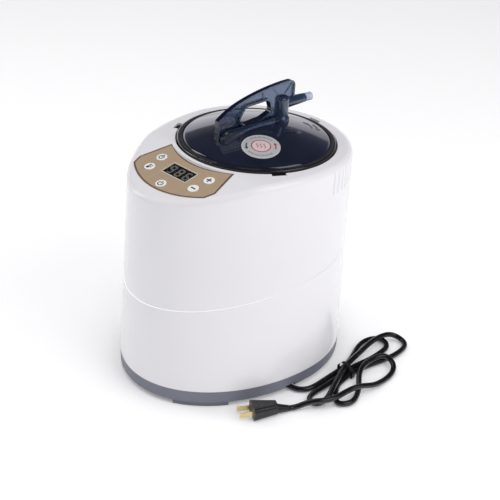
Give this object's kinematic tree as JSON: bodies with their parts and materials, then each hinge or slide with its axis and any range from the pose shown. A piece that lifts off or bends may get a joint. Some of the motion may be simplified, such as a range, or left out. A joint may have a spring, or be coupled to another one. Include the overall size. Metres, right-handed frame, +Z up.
{
  "type": "sauna steam generator",
  "caption": "Portable steam generator for a home sauna: water pot with bayonet lid and steam outlet in the lid handle, sloping key panel with display, coiled power cord.",
  "frame": {"origin": "on the floor, under the middle of the housing footprint", "axes": "+Z up, the key panel faces -Y, +X is to the right when looking at the panel; the power cord lies on the floor on the +X side"},
  "size_m": [0.322, 0.3286, 0.346],
  "materials": {
    "shell_white": "gloss, faintly pearly",
    "base_grey": "satin",
    "foot_rubber": "matt",
    "screw_steel": "zinc plated",
    "collar_plastic": "satin",
    "pot_steel": "satin",
    "cast_aluminium": "as cast",
    "element_sheath": "heat darkened",
    "sensor_housing": "satin",
    "fuse_metal": "plated",
    "sensor_metal": "plain",
    "shield_sheet": "rolled",
    "board_green": "solder mask",
    "relay_case": "satin",
    "transformer_tape": "taped",
    "capacitor_can": "sleeved",
    "terminal_plastic": "satin",
    "heat_sink_black": "black anodised",
    "switch_black": "satin",
    "module_black": "satin",
    "digit_grey": "unlit segments",
    "display_window": "tinted",
    "panel_champagne": "satin metallic",
    "key_white": "satin",
    "gasket_rubber": "silicone",
    "ring_black": "gloss",
    "dome_navy": "high gloss, slightly translucent",
    "baffle_steel": "satin",
    "label_silver": "satin foil",
    "handle_blue": "clear blue, gloss",
    "column_blue": "clear blue, gloss",
    "tip_clear": "milky clear",
    "cord_black": "gloss",
    "grommet_black": "matt",
    "tie_black": "satin",
    "plug_black": "gloss",
    "pin_brass": "polished",
    "lead_silicone": "silicone",
    "ribbon_grey": "flat cable"
  },
  "bodies": {
    "housing": {"outer_shell": "shell_white", "base_pan": "base_grey", "feet": "foot_rubber", "base_screws": "screw_steel", "pot_collar": "collar_plastic", "collar_screws": "screw_steel", "water_pot": "pot_steel", "heater_plate": "cast_aluminium", "heating_element": "element_sheath", "heater_nuts": "screw_steel", "dry_boil_thermostat": "sensor_housing", "thermal_fuse": "fuse_metal", "temperature_sensor": "sensor_metal", "heat_shield": "shield_sheet", "shield_screws": "screw_steel", "power_board": "board_green", "power_board_screws": "screw_steel", "relay": "relay_case", "transformer": "transformer_tape", "filter_capacitor": "capacitor_can", "terminal_block": "terminal_plastic", "heat_sink": "heat_sink_black", "control_board": "board_green", "control_board_screws": "screw_steel", "key_switches": "switch_black", "display_module": "module_black", "display_digits": "digit_grey", "display_window": "display_window", "panel_plate": "panel_champagne", "power_cord": "cord_black", "cord_grommet": "grommet_black", "cord_tie": "tie_black", "plug_body": "plug_black", "plug_pins": "pin_brass", "heater_leads": "lead_silicone", "display_cable": "ribbon_grey"},
    "lid_seal": {"lid_gasket": "gasket_rubber"},
    "lid": {"lid_ring": "ring_black", "lid_dome": "dome_navy", "lid_handle": "handle_blue", "steam_column": "column_blue", "steam_nozzle": "column_blue", "nozzle_tip": "tip_clear", "lid_label": "label_silver", "splash_baffle": "baffle_steel", "baffle_screws": "screw_steel"},
    "key_timer": {"key_timer": "key_white"},
    "key_temperature": {"key_temperature": "key_white"},
    "key_power": {"key_power": "key_white"},
    "key_minus": {"key_minus": "key_white"},
    "key_plus": {"key_plus": "key_white"}
  },
  "joints": [
    {"name": "lid_lift", "type": "slide", "parent": "housing", "child": "lid_seal", "axis": [0, 0, 1], "range_m": [0, 0.08]},
    {"name": "lid_turn", "type": "hinge", "parent": "lid_seal", "child": "lid", "pos_m": [0, 0.031, 0.281], "axis": [0, 0, 1], "range_deg": [-18, 0]},
    {"name": "key_timer_press", "type": "slide", "parent": "housing", "child": "key_timer", "axis": [0, 0.2028, -0.9792], "range_m": [0, 0.0008], "stiffness_N_per_m": 900},
    {"name": "key_temperature_press", "type": "slide", "parent": "housing", "child": "key_temperature", "axis": [0, 0.2028, -0.9792], "range_m": [0, 0.0008], "stiffness_N_per_m": 900},
    {"name": "key_power_press", "type": "slide", "parent": "housing", "child": "key_power", "axis": [0, 0.2028, -0.9792], "range_m": [0, 0.0008], "stiffness_N_per_m": 900},
    {"name": "key_minus_press", "type": "slide", "parent": "housing", "child": "key_minus", "axis": [0, 0.2028, -0.9792], "range_m": [0, 0.0008], "stiffness_N_per_m": 900},
    {"name": "key_plus_press", "type": "slide", "parent": "housing", "child": "key_plus", "axis": [0, 0.2028, -0.9792], "range_m": [0, 0.0008], "stiffness_N_per_m": 900}
  ]
}
